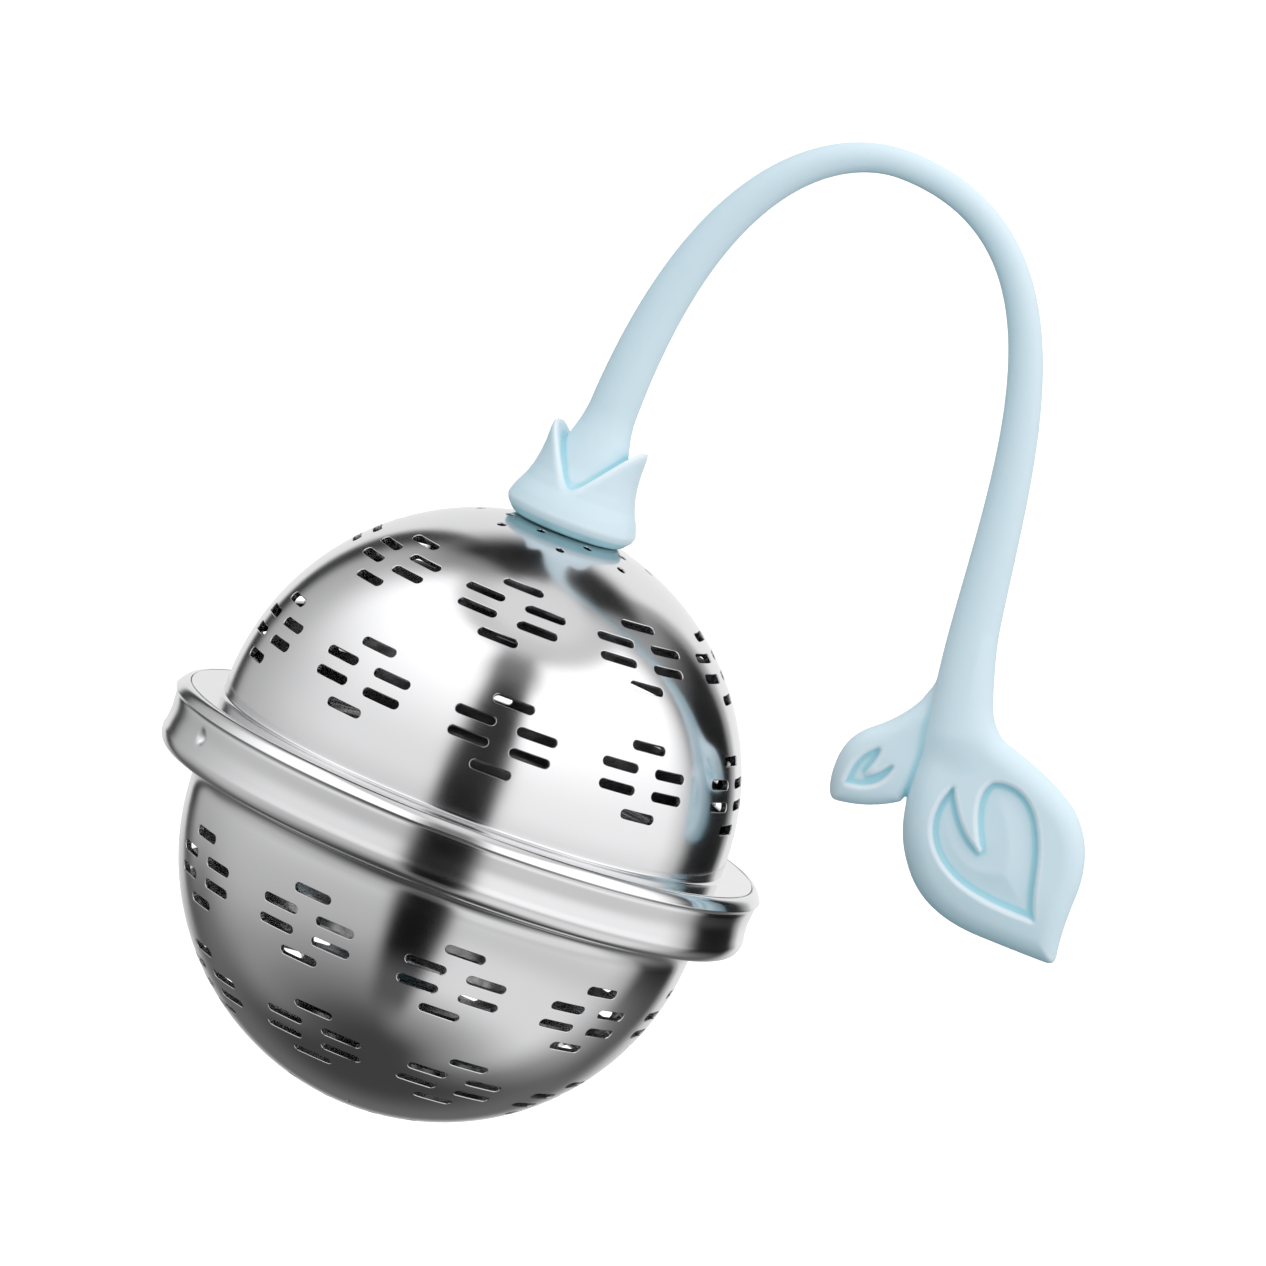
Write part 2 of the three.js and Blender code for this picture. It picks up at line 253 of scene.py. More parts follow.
def perforation_places(pole):
    """(polar, azimuth, half length, half width) in radians and millimetres, one for each opening."""
    places = []
    for polar, count, first in GROUPS[pole]:
        for i in range(count):
            for across, up in SLOT_OFFSETS:
                p = math.radians(polar) - pole * up / BALL_R
                a = math.radians(first + i * 360 / count) + across / (BALL_R * math.sin(p))
                places.append((p, a, SLOT_LENGTH / 2, SLOT_WIDTH / 2))
    for polar, first in HOLE_RINGS:
        for i in range(HOLES_PER_RING):
            a = math.radians(first + i * 360 / HOLES_PER_RING)
            places.append((math.radians(polar), a, SMALL_HOLE / 2, SMALL_HOLE / 2))
    return places


def opening_outline(place, pole, grow):
    """An opening's outline on the sphere as polar, azimuth and the direction into the metal."""
    p, a, half_length, half_width = place
    straight = half_length - half_width
    steps = 8 if straight > 0 else 6
    outline = []
    for side in (1, -1):
        for i in range(steps + (1 if straight > 0 else 0)):
            angle = math.radians(-90 * side + 180 * i / steps)
            outline.append((side * straight, math.cos(angle), math.sin(angle)))
        if straight > 0:
            for share in SIDE_SHARES:
                outline.append((side * straight * share, 0, side))
    along, across, up = np.array(outline).T
    u = along + (half_width + grow) * across
    v = (half_width + grow) * up
    polar = p - pole * v / BALL_R
    azimuth = a + u / (BALL_R * math.sin(p))
    return polar, azimuth, across, up


def distance_to_openings(polar, azimuth, places, pole):
    """How far each point on the sphere is outside the nearest opening, in millimetres."""
    p, a, half_length, half_width = (np.array(c) for c in zip(*places))
    turn = (azimuth[:, None] - a + math.pi) % (2 * math.pi) - math.pi
    u = turn * BALL_R * np.sin(p)
    v = (polar[:, None] - p) * BALL_R
    straight = np.maximum(np.abs(u) - (half_length - half_width), 0)
    return (np.hypot(straight, v) - half_width).min(axis=1)


def perforated_cap(pole, rim_azimuths):
    """The pierced part of one half as points and faces, outer and inner skin and every edge wall.

    Returns points, faces, normals, and the two rings of indices round the rim, outer then inner."""
    places = perforation_places(pole)
    end = math.radians(CAP_END)
    hole = math.asin(STEM_HOLE_R / BALL_R) if pole == 1 else 0
    polar, azimuth, loops = [], [], []

    def add(p, a):
        start = sum(len(x) for x in polar)
        polar.append(np.asarray(p, float))
        azimuth.append(np.asarray(a, float))
        return list(range(start, start + len(p)))

    rim = add(np.full(len(rim_azimuths), end), rim_azimuths)
    loops.append(rim)
    if pole == 1:
        around = np.linspace(0, 2 * math.pi, STEM_HOLE_STEPS, endpoint=False)
        hole_ring = add(np.full(STEM_HOLE_STEPS, hole), around)
        loops.append(hole_ring)
    else:
        add([0.0], [0.0])
    outlines = []
    for place in places:
        p, a, across, up = opening_outline(place, pole, SLOT_EDGE)
        outlines.append((place, add(p, a), across, up))
        loops.append(outlines[-1][1])
    spacing = CAP_SPACING / BALL_R
    rings = int((end - hole) / spacing)
    for k in range(1, rings):
        p = hole + (end - hole) * k / rings
        count = max(6, int(round(2 * math.pi * math.sin(p) / spacing)))
        a = (np.arange(count) + 0.5 * (k % 2)) * 2 * math.pi / count
        far = distance_to_openings(np.full(count, p), a, places, pole) > SLOT_EDGE + 0.4 * CAP_SPACING
        add(np.full(far.sum(), p), a[far])
    polar = np.concatenate(polar)
    azimuth = np.concatenate(azimuth)

    flat = np.column_stack([polar * np.cos(azimuth), polar * np.sin(azimuth)]) * BALL_R
    edges = [(loop[i], loop[(i + 1) % len(loop)]) for loop in loops for i in range(len(loop))]
    found = delaunay_2d_cdt([Vector(v) for v in flat], edges, [], 0, 1e-6, True)
    triangles = np.array([f for f in found[2] if len(f) == 3])
    source = np.array([ids[0] for ids in found[3]])
    triangles = source[triangles]
    middle = flat[triangles].mean(axis=1)
    middle_polar = np.hypot(middle[:, 0], middle[:, 1]) / BALL_R
    middle_azimuth = np.arctan2(middle[:, 1], middle[:, 0])
    solid = distance_to_openings(middle_polar, middle_azimuth, places, pole) > SLOT_EDGE * 0.75
    triangles = triangles[solid & (middle_polar > hole)]

    normal = sphere_normal(polar, azimuth, pole)
    centre = np.array([0, 0, pole * HALF_OFFSET])
    count = len(polar)
    points = [centre + BALL_R * normal, centre + INSIDE_R * normal]
    normals = [normal, -normal]
    outward = triangles if pole == 1 else triangles[:, ::-1]
    faces = [tuple(t) for t in outward] + [tuple(t[::-1] + count) for t in outward]
    total = 2 * count

    def wall(rings):
        for upper, lower in zip(rings, rings[1:]):
            for i in range(len(upper)):
                j = (i + 1) % len(upper)
                faces.append((upper[i], upper[j], lower[j], lower[i]))

    for place, ring, across, up in outlines:
        p, a, _, _ = opening_outline(place, pole, 0)
        n = sphere_normal(p, a, pole)
        east = np.column_stack([np.cos(a), np.sin(a), np.zeros(len(a))])
        north = np.cross(n, east)
        into = -(across[:, None] * east + up[:, None] * north)
        depth_rings = []
        for radius in (BALL_R - SLOT_EDGE, INSIDE_R + SLOT_EDGE):
            points.append(centre + radius * n)
            normals.append(unit(into))
            depth_rings.append(list(range(total, total + len(a))))
            total += len(a)
        wall([ring, depth_rings[0], depth_rings[1], [i + count for i in ring]])
    if pole == 1:
        wall([hole_ring, [i + count for i in hole_ring]])
    return np.vstack(points), faces, np.vstack(normals), rim, [i + count for i in rim]


def ring_azimuths(special, clear):
    """Evenly spaced azimuths in degrees with the special ones added and close neighbours dropped."""
    even = np.linspace(-180, 180, RING_STEPS, endpoint=False)
    special = np.array(sorted((s + 180) % 360 - 180 for s in special))
    gap = np.abs((even[:, None] - special + 180) % 360 - 180).min(axis=1)
    return np.sort(np.concatenate([even[gap > clear], special]))


def turned_skin(path, azimuths, first, last, cap_points, dents=None):
    """Rows of points from the cap's outer rim ring to its inner one, and each one's normal."""
    a = np.radians(azimuths)
    r = np.repeat(path[:, :1], len(a), axis=1)
    z = np.repeat(path[:, 1:], len(a), axis=1)
    if dents is not None:
        r = dents(r, z, a)
    grid = np.stack([r * np.sin(a), -r * np.cos(a), z], axis=-1)
    grid[0] = cap_points[first]
    grid[-1] = cap_points[last]
    down = np.gradient(grid, axis=0)
    around = np.roll(grid, -1, axis=1) - np.roll(grid, 1, axis=1)
    return grid, unit(np.cross(around, down))


def shell(name, pole, path, azimuths, missing=None, dents=None):
    """One steel half: the pierced cap and the turned edge, whose cells in missing are left open."""
    points, faces, normals, outer, inner = perforated_cap(pole, np.radians(azimuths))
    grid, grid_normals = turned_skin(path, azimuths, outer, inner, points, dents)
    rows, columns = grid.shape[:2]
    start = len(points)
    index = np.arange((rows - 2) * columns).reshape(rows - 2, columns) + start
    index = np.vstack([outer, index, inner])
    side = -1 if pole == 1 else 1
    gone = np.zeros((rows - 1, columns), bool) if missing is None else missing(path, azimuths)
    for j in range(rows - 1):
        for i in range(columns):
            k = (i + 1) % columns
            quad = (index[j, i], index[j, k], index[j + 1, k], index[j + 1, i])
            if not gone[j, i]:
                faces.append(quad[::side])
    faces.extend(slot_walls(index, gone, side))
    points = np.vstack([points, grid[1:-1].reshape(-1, 3)])
    normals = np.vstack([normals, (side * grid_normals[1:-1]).reshape(-1, 3)])
    # The inside mark carries the painted shade of the inner skin
    return mesh_piece(name, points, faces, normals, {"inside": painted_inside_shade(points, pole)})


def painted_inside_shade(points, pole):
    """How much painted shade the steel gets: up to 1 inside the dome, a little inside the bowl, 0 outside
    both.
    """
    far = np.linalg.norm(points - [0, 0, pole * HALF_OFFSET], axis=1)
    inside_shade = INSIDE_SHADE[pole] * smoothstep((BALL_R - 0.1 - far) / (SHEET - 0.2))
    return inside_shade * (pole * points[:, 2] > HALF_OFFSET - 0.5)


def slot_walls(index, gone, side):
    """Walls round the cells left open in the skirt, from its outer skin to its inner one."""
    rows = np.nonzero(gone.any(axis=1))[0]
    walls = []
    for j in rows[:len(rows) // 2]:
        for i in np.nonzero(gone[j])[0]:
            k = (i + 1) % gone.shape[1]
            neighbours = [(j - 1, i), (j + 1, i), (j, i - 1), (j, k)]
            edges = [((j, i), (j, k)), ((j + 1, k), (j + 1, i)), ((j + 1, i), (j, i)), ((j, k), (j + 1, k))]
            for neighbour, (a, b) in zip(neighbours, edges):
                if not gone[neighbour]:
                    inner = [(rows[0] + rows[-1] + 1 - corner[0], corner[1]) for corner in (b, a)]
                    walls.append(tuple(index[corner] for corner in (a, b, *inner))[::side])
    return walls


def upper_path():
    """Flange and skirt: from the dome's outer skin out, down, round the open edge and back inside."""
    under = FLANGE_TOP - SHEET
    skirt_inside = SKIRT_R - SHEET
    dome = arc((0, HALF_OFFSET), BALL_R, 90 - CAP_END, 0, 3)
    inner_dome = arc((0, HALF_OFFSET), INSIDE_R, 0, 90 - CAP_END, 3)
    fillet_top = FLANGE_TOP + FILLET
    fillet = bezier(
        [(BALL_R, fillet_top), (BALL_R, FLANGE_TOP + 0.15), (21.65, FLANGE_TOP), (22.0, FLANGE_TOP)], 8)
    inner_fillet = bezier([(22.0, under), (21.3, under), (INSIDE_R, under + 0.3), (INSIDE_R, fillet_top)], 8)
    corner = bezier(
        [(SKIRT_R - FLANGE_CORNER, FLANGE_TOP), (SKIRT_R - 0.03, FLANGE_TOP), (SKIRT_R, FLANGE_TOP - 0.03),
         (SKIRT_R, FLANGE_TOP - FLANGE_CORNER)], 5)
    levels = skirt_levels()
    outside = [(SKIRT_R, z) for z in levels]
    inside = [(skirt_inside, z) for z in levels[::-1]]
    edge = [(SKIRT_R - 0.12, SKIRT_BOTTOM), (skirt_inside + 0.12, SKIRT_BOTTOM)]
    return joined(
        dome, line((BALL_R, HALF_OFFSET), (BALL_R, fillet_top + 0.1), 3), fillet,
        line((22.1, FLANGE_TOP), (SKIRT_R - FLANGE_CORNER - 0.05, FLANGE_TOP), 4), corner,
        outside, edge, inside,
        line((skirt_inside - 0.1, under), (22.1, under), 3), inner_fillet,
        line((INSIDE_R, fillet_top + 0.1), (INSIDE_R, HALF_OFFSET), 2), inner_dome)


def skirt_levels():
    """Heights down the skirt, with the bayonet slot's edges among them."""
    top = PIP_Z + BAYONET_HALF
    low = PIP_Z - BAYONET_HALF
    return [top + 0.06, top, PIP_Z, low, low - 0.6, SKIRT_BOTTOM + 0.12]


def bayonet_cells(path, azimuths):
    """True for each cell of the skirt inside an L-shaped slot."""
    half = math.degrees(BAYONET_HALF / SKIRT_R)
    skirt = path[:, 0] > SKIRT_R - SHEET - 0.01
    level = (path[:-1, 1] + path[1:, 1]) / 2
    both = skirt[:-1] & skirt[1:] & (level < PIP_Z + BAYONET_HALF)
    middle = azimuths + ((np.roll(azimuths, -1) - azimuths) % 360) / 2
    gone = np.zeros((len(level), len(azimuths)), bool)
    for pip in PIP_AZIMUTHS:
        turn = (middle - pip + 180) % 360 - 180
        upright = np.abs(turn) < half
        along = (turn > -BAYONET_TURN - half) & (turn < half)
        gone |= both[:, None] & upright[None]
        gone |= (both & (level > PIP_Z - BAYONET_HALF))[:, None] & along[None]
    return gone


def lower_path():
    """Shoulder and band: from the bowl's outer skin out, up, over the rolled lip and back inside."""
    bowl = arc((0, -HALF_OFFSET), BALL_R, CAP_END - 90, -2.1, 2)
    inner_bowl = arc((0, -HALF_OFFSET), INSIDE_R, -2.1, CAP_END - 90, 2)
    foot = tuple(bowl[-1])
    inner_foot = tuple(inner_bowl[0])
    shoulder = bezier([foot, (21.6, -3.35), (22.2, -3.0), (23.0, SHOULDER_Z)], 10)
    turn_up = bezier([(23.0, SHOULDER_Z), (24.3, -2.86), (24.75, -2.6), (24.95, -2.15)], 10)
    bead = bezier([(24.95, -2.15), (25.08, -1.86), (25.13, -1.5), (25.06, -1.15)], 6)
    face = [(BAND_R - band_waist(z), z) for z in band_levels()]
    crease = bezier([(24.99, 1.6), (25.0, 1.72), (25.06, 1.84), (25.17, 1.91)], 5)
    rim = bezier([(25.17, 1.91), (25.23, 1.94), (25.23, 1.98), (25.2, 2.02)], 3)
    lip = bezier([(25.2, 2.02), (24.98, 2.34), (24.75, 2.8), (LIP_INSIDE + 0.06, 2.87)], 12)
    inside_face = [(BAND_R - band_waist(z) - SHEET, z) for z in band_levels()[::-1]]
    inside_turn = bezier([(24.6, -1.15), (24.6, -1.8), (24.3, -2.35), (23.0, -2.4)], 10)
    inside_shoulder = bezier([(23.0, -2.4), (21.9, -2.45), (21.1, -2.9), inner_foot], 8)
    return joined(
        bowl, shoulder, turn_up, bead, face, crease, rim, lip,
        [(LIP_INSIDE, 2.79), (LIP_INSIDE, 2.45), (24.34, 2.0)],
        inside_face, inside_turn, inside_shoulder, inner_bowl)


def band_waist(z):
    """How far the band's face is inside its full radius: it is very slightly hollow."""
    return 0.08 + 0.05 * math.cos((z - 0.1) * 1.9)


def band_levels():
    """Heights up the band's face, close together where the pips are."""
    fine = np.arange(PIP_Z - 0.9, PIP_Z + 0.7, 0.12)
    return [-1.1, -0.85, *fine, 1.1, 1.3, 1.48]


def pip_dents(r, z, azimuth):
    """Each pip pressed in: the same round dent in the band's outer face and bulge on its inside."""
    moved = r.copy()
    on_band = (r > BAND_R - SHEET - 0.2) & (z > -1.9) & (z < 1.6)
    for pip in PIP_AZIMUTHS:
        turn = (azimuth - math.radians(pip) + math.pi) % (2 * math.pi) - math.pi
        far = np.hypot(turn * BAND_R, z - PIP_Z)
        moved -= on_band * PIP_DEEP * np.exp(-((far / PIP_WIDTH) ** 2.4))
    return moved


def upper_azimuths():
    """The upper half's columns, with the bayonet slots' edges among them."""
    half = math.degrees(BAYONET_HALF / SKIRT_R)
    edges = []
    for pip in PIP_AZIMUTHS:
        edges += [pip - BAYONET_TURN - half, pip - half, pip + half]
    return ring_azimuths(edges, 0.5)


def lower_azimuths():
    """The lower half's columns, close together where the pips are."""
    fine = np.arange(-2.1, 2.11, 0.3)
    return ring_azimuths([pip + f for pip in PIP_AZIMUTHS for f in fine], 0.25)


# ---------------------------------------------------------------- silicone moulding

def leaf_outline(stretches):
    """One closed outline from its cubic stretches."""
    return np.vstack([bezier(s, 14) for s in stretches])


# The leaves' outlines and their panels', as cubic stretches, x and height
LARGE_LEAF = (
    ((34.3, 28.6), (35.2, 27.0), (35.9, 25.4), (36.4, 24.2)),
    ((36.4, 24.2), (37.0, 22.6), (37.9, 21.75), (39.6, 21.25)),
    ((39.6, 21.25), (41.4, 20.7), (44.0, 19.9), (46.2, 18.3)),
    ((46.2, 18.3), (48.1, 16.6), (48.85, 14.4), (48.85, 12.0)),
    ((48.85, 12.0), (48.8, 9.8), (48.85, 8.4), (49.15, 6.7)),
    ((49.15, 6.7), (49.3, 5.95), (49.0, 5.75), (48.3, 5.75)),
    ((48.3, 5.75), (46.0, 5.7), (44.2, 5.7), (42.4, 5.7)),
    ((42.4, 5.7), (38.6, 5.8), (36.6, 7.2), (35.2, 9.2)),
    ((35.2, 9.2), (33.6, 11.4), (33.15, 13.6), (33.0, 17.5)),
    ((33.0, 17.5), (32.9, 20.0), (33.0, 24.0), (34.3, 28.6)),
)
LARGE_PANEL = (
    ((36.35, 17.0), (34.9, 14.4), (35.6, 11.3), (38.9, 9.7)),
    ((38.9, 9.7), (40.8, 8.8), (43.6, 8.65), (46.5, 8.8)),
    ((46.5, 8.8), (45.2, 11.2), (45.5, 13.4), (43.9, 16.2)),
    ((43.9, 16.2), (42.8, 18.3), (40.8, 19.1), (39.1, 18.3)),
    ((39.1, 18.3), (38.1, 17.1), (38.7, 15.1), (40.1, 12.7)),
    ((40.1, 12.7), (38.4, 13.5), (37.4, 15.0), (36.35, 17.0)),
)
SMALL_LEAF = (
    ((33.8, 28.0), (32.9, 26.0), (32.1, 24.0), (31.5, 22.1)),
    ((31.5, 22.1), (30.7, 20.6), (29.8, 19.6), (28.5, 18.55)),
    ((28.5, 18.55), (26.9, 17.2), (26.75, 15.6), (26.9, 13.8)),
    ((26.9, 13.8), (27.05, 12.8), (27.35, 11.7), (28.0, 11.85)),
    ((28.0, 11.85), (29.7, 12.1), (31.2, 12.6), (32.9, 13.8)),
    ((32.9, 13.8), (33.7, 17.0), (34.0, 22.0), (33.8, 28.0)),
)
SMALL_PANEL = (
    ((29.75, 17.6), (28.45, 16.8), (27.95, 15.5), (28.0, 13.6)),
    ((28.0, 13.6), (29.4, 13.5), (31.3, 14.3), (31.4, 16.3)),
    ((31.4, 16.3), (31.0, 17.0), (30.7, 15.7), (29.6, 15.1)),
    ((29.6, 15.1), (29.7, 15.9), (30.3, 16.8), (29.75, 17.6)),
)

# The calyx's turned profiles, radius and height; they pass the axis so that no edge lies on it
CUP = (
    (-4, 25.2), (2.7, 25.12), (3.7, 24.94), (4.4, 24.82), (4.75, 25.0), (5.3, 25.6), (5.5, 26.1),
    (5.2, 27.0), (4.66, 28.1), (4.35, 29.1), (4.18, 30.1), (4.1, 31.1), (4.1, 32.2), (4.05, 32.9),
    (3.75, 33.25), (3.2, 33.35), (-4, 33.5),
)
FOOT = (
    (-4, 25.6), (4.3, 25.6), (4.3, 28.1), (3.6, 28.9), (3.15, 30.0), (2.8, 31.4), (2.4, 32.8),
    (1.7, 34.6), (0.9, 35.6), (-4, 35.6),
)
PLUG = ((-4, 21.9), (2.2, 21.9), (3.9, 23.4), (3.9, 23.75), (2.5, 24.0), (2.5, 25.6), (-4, 25.6))


def outline_distance(x, z, outline):
    """Signed distance from grid points to a closed outline, negative inside."""
    x, z = np.broadcast_arrays(x, z)
    nearest = np.full(x.shape, 1e9)
    inside = np.zeros(x.shape, bool)
    ends = np.roll(outline, -1, axis=0)
    for (ax, az), (bx, bz) in zip(outline, ends):
        dx, dz = bx - ax, bz - az
        t = np.clip(((x - ax) * dx + (z - az) * dz) / (dx * dx + dz * dz + 1e-12), 0, 1)
        nearest = np.minimum(nearest, (x - ax - t * dx) ** 2 + (z - az - t * dz) ** 2)
        crosses = (az > z) != (bz > z)
        at = ax + (z - az) * dx / (dz if abs(dz) > 1e-12 else 1e-12)
        inside ^= crosses & (x < at)
    distance = np.sqrt(nearest)
    return np.where(inside, -distance, distance)


def smooth_union(a, b, blend):
    """The nearer of two signed distances, with a fillet of about the blend's size between them."""
    h = np.clip(0.5 + 0.5 * (b - a) / blend, 0, 1)
    return b * (1 - h) + a * h - blend * h * (1 - h)


def smoothstep(t):
    """0 below 0, 1 above 1, and a smooth change between."""
    t = np.clip(t, 0, 1)
    return t * t * (3 - 2 * t)


def stem_distance(x, y, z):
    """Signed distance to the bent, tapering stem. x and z are flat grids and y is a row of depths."""
    steps = 70
    path = np.vstack([bezier(INNER_ARC, steps), bezier(OUTER_ARC, steps), [OUTER_ARC[3]]])
    share = np.concatenate([np.linspace(1, 0, steps, endpoint=False), np.linspace(0, 1, steps + 1)])
    end = np.concatenate([np.full(steps, STEM_FOOT_R), np.full(steps + 1, STEM_LEAF_R)])
    radius = STEM_TOP_R + (end - STEM_TOP_R) * share ** STEM_TAPER
    nearest = np.full(x.shape, 1e9)
    thick = np.zeros(x.shape)
    for a, b, ra, rb in zip(path, path[1:], radius, radius[1:]):
        d = b - a
        t = np.clip(((x - a[0]) * d[0] + (z - a[1]) * d[1]) / (d @ d), 0, 1)
        far = np.hypot(x - a[0] - t * d[0], z - a[1] - t * d[1])
        closer = far < nearest
        nearest = np.where(closer, far, nearest)
        thick = np.where(closer, ra + t * (rb - ra), thick)
    return np.sqrt(nearest[:, None, :] ** 2 + y ** 2) - thick[:, None, :]


def leaf_distance(x, y, z, outline, panel, half, edge, sunk, middle):
    """Signed distance to a leaf: a slab with round edges and a sunk panel on both faces.

    It thins as it rises into the stem, so that it comes out of it without a step, and its lower left
    part curls to the back."""
    beyond = (CURL_START[0] - x) * CURL_TOWARDS[0] + (CURL_START[1] - z) * CURL_TOWARDS[1]
    middle = middle + (CURL * np.maximum(beyond, 0) ** 2)[:, None, :]
    half = half - (half - edge) * smoothstep((z - THIN_FROM) / THIN_OVER)
    rim = outline_distance(x, z, leaf_outline(outline))
    well = outline_distance(x, z, leaf_outline(panel))
    dish = sunk * smoothstep(0.15 - well / PANEL_SLOPE)
    dish = dish - PANEL_CROWN * smoothstep((-well - CROWN_START) / CROWN_OVER)
    across = (rim + edge)[:, None, :]
    through = np.abs(y - middle) + (dish - half + edge)[:, None, :]
    return np.minimum(np.maximum(across, through), 0) + np.hypot(
        np.maximum(across, 0), np.maximum(through, 0)) - edge


def calyx_distance(x, y, z):
    """Signed distance to the calyx: a cup cut into two petals round the stem's tapering foot, and
    below it the neck in the dome's hole and the plug."""
    r = np.sqrt((x - CALYX_X) ** 2 + y ** 2)
    turn = math.radians(NOTCH_AZIMUTH)
    aside = np.abs((x - CALYX_X) * math.cos(turn) + y * math.sin(turn))
    above = z - NOTCH_BOTTOM - NOTCH_SLOPE * np.sqrt(aside ** 2 + NOTCH_ROUND)
    cut = above / math.hypot(1, NOTCH_SLOPE) + NOTCH_SET
    petals = -smooth_union(-outline_distance(r, z, np.array(CUP)), -cut, PETAL_ROUND)
    whole = smooth_union(petals, outline_distance(r, z, np.array(FOOT)), FOOT_JOIN)
    return smooth_union(whole, outline_distance(r, z, np.array(PLUG)), PLUG_JOIN)


def surface_net(field, origin, step):
    """Quads over the zero level of a grid of signed distances: one point in each cell it crosses."""
    inside = field < 0
    corners = [(i, j, k) for i in (0, 1) for j in (0, 1) for k in (0, 1)]
    nx, ny, nz = (n - 1 for n in field.shape)

    def corner(values, c):
        return values[c[0]:c[0] + nx, c[1]:c[1] + ny, c[2]:c[2] + nz]

    filled = sum(corner(inside, c).astype(np.int8) for c in corners)
    cells = np.argwhere((filled > 0) & (filled < 8))
    values = np.stack([field[tuple((cells + c).T)] for c in corners], axis=1)
    total = np.zeros((len(cells), 3))
    crossings = np.zeros(len(cells))
    for a, ca in enumerate(corners):
        for b, cb in enumerate(corners):
            if b <= a or sum(abs(p - q) for p, q in zip(ca, cb)) != 1:
                continue
            va, vb = values[:, a], values[:, b]
            crossed = (va < 0) != (vb < 0)
            t = np.where(crossed, va / np.where(crossed, va - vb, 1), 0)[:, None]
            total += crossed[:, None] * (np.array(ca) * (1 - t) + np.array(cb) * t)
            crossings += crossed
    points = cells + total / crossings[:, None]
    lookup = -np.ones((nx, ny, nz), np.int64)
    lookup[tuple(cells.T)] = np.arange(len(cells))
    quads = []
    for axis in range(3):
        step_to = np.zeros(3, int)
        step_to[axis] = 1
        low = inside[:nx + 1 - step_to[0], :ny + 1 - step_to[1], :nz + 1 - step_to[2]]
        high = inside[step_to[0]:, step_to[1]:, step_to[2]:]
        u, v = (axis + 1) % 3, (axis + 2) % 3
        at = np.argwhere(low != high)
        at = at[(at[:, [u, v]] > 0).all(axis=1)]
        at = at[(at[:, u] < field.shape[u] - 1) & (at[:, v] < field.shape[v] - 1)]
        back_u = np.eye(3, dtype=int)[u]
        back_v = np.eye(3, dtype=int)[v]
        ring = [at - back_u - back_v, at - back_v, at, at - back_u]
        quad = np.stack([lookup[tuple(q.T)] for q in ring], axis=1)
        leaving = low[tuple(at.T)]
        quads.append(np.where(leaving[:, None], quad, quad[:, ::-1]))
    return origin + points * step, np.vstack(quads)


def sampled(grid, points, origin, step):
    """The grid's value at each point, in a straight blend of the eight around it."""
    at = (points - origin) / step
    base = np.clip(np.floor(at).astype(int), 0, np.array(grid.shape) - 2)
    t = at - base
    value = 0
    for i in (0, 1):
        for j in (0, 1):
            for k in (0, 1):
                share = (
                    (t[:, 0] if i else 1 - t[:, 0])
                    * (t[:, 1] if j else 1 - t[:, 1])
                    * (t[:, 2] if k else 1 - t[:, 2]))
                value = value + share * grid[base[:, 0] + i, base[:, 1] + j, base[:, 2] + k]
    return value


def moulding_field():
    """The handle's signed distance on a grid round it, with the grid's first point."""
    low = np.array(GRID_LOW)
    high = np.array(GRID_HIGH)
    counts = np.ceil((high - low) / VOXEL).astype(int) + 1
    axes = [low[i] + VOXEL * np.arange(counts[i]) for i in range(3)]
    x, z = np.meshgrid(axes[0], axes[2], indexing="ij")
    y = axes[1][None, :, None]
    field = stem_distance(x, y, z)
    large = leaf_distance(x, y, z, LARGE_LEAF, LARGE_PANEL, LARGE_HALF, LARGE_ROUND, LARGE_SUNK, 0)
    small = leaf_distance(x, y, z, SMALL_LEAF, SMALL_PANEL, SMALL_HALF, SMALL_ROUND, SMALL_SUNK, SMALL_BACK)
    field = smooth_union(smooth_union(field, large, LARGE_JOIN), small, SMALL_JOIN)
    columns = int(-2 * GRID_LOW[0] / VOXEL)
    rows = np.nonzero((axes[2] > CALYX_SPAN[0]) & (axes[2] < CALYX_SPAN[1]))[0]
    part = np.ix_(range(columns), range(counts[1]), rows)
    cup = calyx_distance(
        axes[0][:columns, None, None], axes[1][None, :, None], axes[2][None, None, rows])
    field[part] = smooth_union(field[part], cup, CALYX_JOIN)
    return field, low


def without_pinches(field):
    """The grid with its smallest values nudged, so that no cell's face is inside and outside by turns."""
    step = np.eye(3, dtype=int)
    for u, v in ((0, 1), (1, 2), (0, 2)):
        inside = field < 0
        beside, above = np.roll(inside, -1, u), np.roll(inside, -1, v)
        across = np.roll(beside, -1, v)
        for at in np.argwhere((inside == across) & (beside == above) & (inside != beside)):
            corners = [tuple(at + i * step[u] + j * step[v]) for i in (0, 1) for j in (0, 1)]
            smallest = min(corners, key=lambda corner: abs(field[corner]))
            field[smallest] = -NUDGE if field[smallest] >= 0 else NUDGE
    return field


def handle_moulding():
    """The whole silicone handle: the field's zero surface, moved on to it and marked with its bend, which
    sets its painted shade and painted highlight, the painted shade under the calyx included.
    """
    field, origin = moulding_field()
    field = without_pinches(field)
    points, quads = surface_net(field, origin, VOXEL)
    slopes = np.gradient(field, VOXEL)
    for _ in range(2):
        value = sampled(field, points, origin, VOXEL)
        slope = np.stack([sampled(s, points, origin, VOXEL) for s in slopes], axis=1)
        move = -value / np.maximum((slope ** 2).sum(axis=1), 0.25)
        points = points + np.clip(move, -0.5 * VOXEL, 0.5 * VOXEL)[:, None] * slope
    normal = unit(np.stack([sampled(s, points, origin, VOXEL) for s in slopes], axis=1))
    bend_for_painted_light = sampled(surface_bend(field), points, origin, VOXEL)
    # Painted shade under the calyx, subtracted from the bend so that the material paints it deeper teal
    under = smoothstep((UNDER_CALYX_SHADE_TOP - points[:, 2]) / UNDER_CALYX_SHADE_FADE) * (points[:, 0] < UNDER_CALYX_SHADE_RIGHT)
    bend_for_painted_light -= UNDER_CALYX_SHADE_DEPTH * under
    return mesh_piece("silicone_handle", points, quads, normal, {"bend_for_painted_light": bend_for_painted_light})


